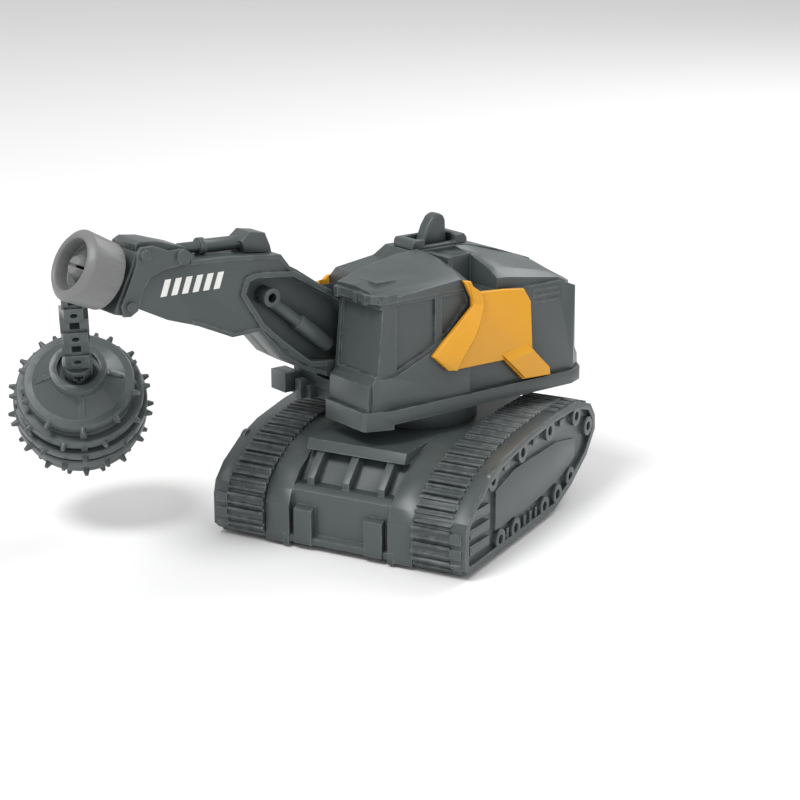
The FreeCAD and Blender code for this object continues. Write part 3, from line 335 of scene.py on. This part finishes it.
# a skin of quads over rows of (y, z, height) points, closed down onto the wall
def foldedSkin(bm, rows, wall):
    top = [[bm.verts.new((wall + h, y, z)) for y, z, h in row] for row in rows]
    base = [[bm.verts.new((wall - sunk, y, z)) for y, z, h in row] for row in rows]
    lastRow, lastPoint = len(rows) - 1, len(rows[0]) - 1
    for i in range(lastRow):
        for j in range(lastPoint):
            for sheet in (top, base):
                bm.faces.new((sheet[i][j], sheet[i][j + 1], sheet[i + 1][j + 1], sheet[i + 1][j]))
    rim = [(0, j) for j in range(lastPoint + 1)] + [(i, lastPoint) for i in range(1, lastRow + 1)]
    rim += [(lastRow, j) for j in range(lastPoint - 1, -1, -1)] + [(i, 0) for i in range(lastRow - 1, 0, -1)]
    for (i, j), (m, n) in zip(rim, rim[1:] + rim[:1]):
        bm.faces.new((top[i][j], top[m][n], base[m][n], base[i][j]))


# plain slanted bars printed on both sides of the boom; per side: wall x, foot and height of the bars
barPrint = {"near": (0.1, 37.9, 2.2), "far": (-6.1, 39.3, 1.6), "count": 6, "first": -42.6, "pitch": 1.62,
            "wide": 0.95, "slant": 0.8, "drop": 0.02, "thick": 0.05, "edge": 0.02}


def addBars(side, sign):
    bm = bmesh.new()
    face, low, tall = barPrint[side]
    wide, slant = barPrint["wide"], barPrint["slant"]
    for k in range(barPrint["count"]):
        y = barPrint["first"] + k * barPrint["pitch"]
        z = low - k * barPrint["pitch"] * barPrint["drop"]
        corners = [(y, z), (y + wide, z), (y + wide + slant, z + tall), (y + slant, z + tall)]
        plate(bm, corners, face - sign * sunk, face + sign * barPrint["thick"])
    addPiece("boom_bars_" + side, bm, "printWhite", barPrint["edge"])


addBars("near", 1)
addBars("far", -1)

# the yellow side panel: a front face folded forward, a groove behind it and the rear tongue
panelFold = {"wall": 10.98,
             "front": [(0.3, 35.4), (1.2, 32.4), (-1.2, 30.2), (-3.9, 27.7), (-5.8, 25.9), (-3.3, 23.6)],
             "ridge": [(1.7, 34.2), (2.1, 32.2), (1.5, 29.9), (0.6, 27.9), (-1.4, 25.4), (-2.5, 23.6)],
             "foot": [(2.6, 33.7), (3.2, 32.0), (2.7, 29.7), (1.8, 27.6), (-0.3, 25.2), (-1.5, 23.55)],
             "high": 0.95, "edge": 0.12, "frontHigh": 0.08, "footHigh": 0.02,
             "tongueTop": [(7.3, 23.2), (12.1, 24.0)], "tongueEnd": [(10.8, 20.0), (15.6, 19.8)],
             "tongueHigh": 0.6}


def addPanelFold():
    bm = bmesh.new()
    rows = [[(y, z, panelFold["frontHigh"]) for y, z in panelFold["front"]],
            [(y, z, panelFold["high"]) for y, z in panelFold["ridge"]],
            [(y, z, panelFold["footHigh"]) for y, z in panelFold["foot"]]]
    foldedSkin(bm, rows, panelFold["wall"])
    addPiece("panel_fold", bm, "panelYellow", panelFold["edge"])
    bm = bmesh.new()
    high = panelFold["tongueHigh"]
    rows = [[(y - 0.9, z + 1.1, panelFold["footHigh"]) for y, z in panelFold["tongueTop"]],
            [(y, z, high) for y, z in panelFold["tongueTop"]],
            [(y, z, high * 0.5) for y, z in panelFold["tongueEnd"]]]
    foldedSkin(bm, rows, panelFold["wall"])
    addPiece("panel_tongue", bm, "panelYellow", panelFold["edge"])


addPanelFold()

# cooling slats across the back of the engine cover
slats = {"count": 5, "low": 26.2, "pitch": 1.15, "tall": 0.6, "from": -8.6, "to": 7.0, "y": 21.6,
         "proud": 0.45, "nose": (0.12, 0.4), "edge": 0.08}


def addSlats():
    bm = bmesh.new()
    for k in range(slats["count"]):
        z = slats["low"] + k * slats["pitch"]
        wall, tip = slats["y"], slats["y"] + slats["proud"]
        corners = [(wall, z), (tip, z + slats["nose"][0]), (tip, z + slats["nose"][1]), (wall, z + slats["tall"])]
        plate(bm, corners, slats["from"], slats["to"])
    addPiece("rear_slats", bm, "bodyGrey", slats["edge"])


addSlats()
print("added pieces finished")
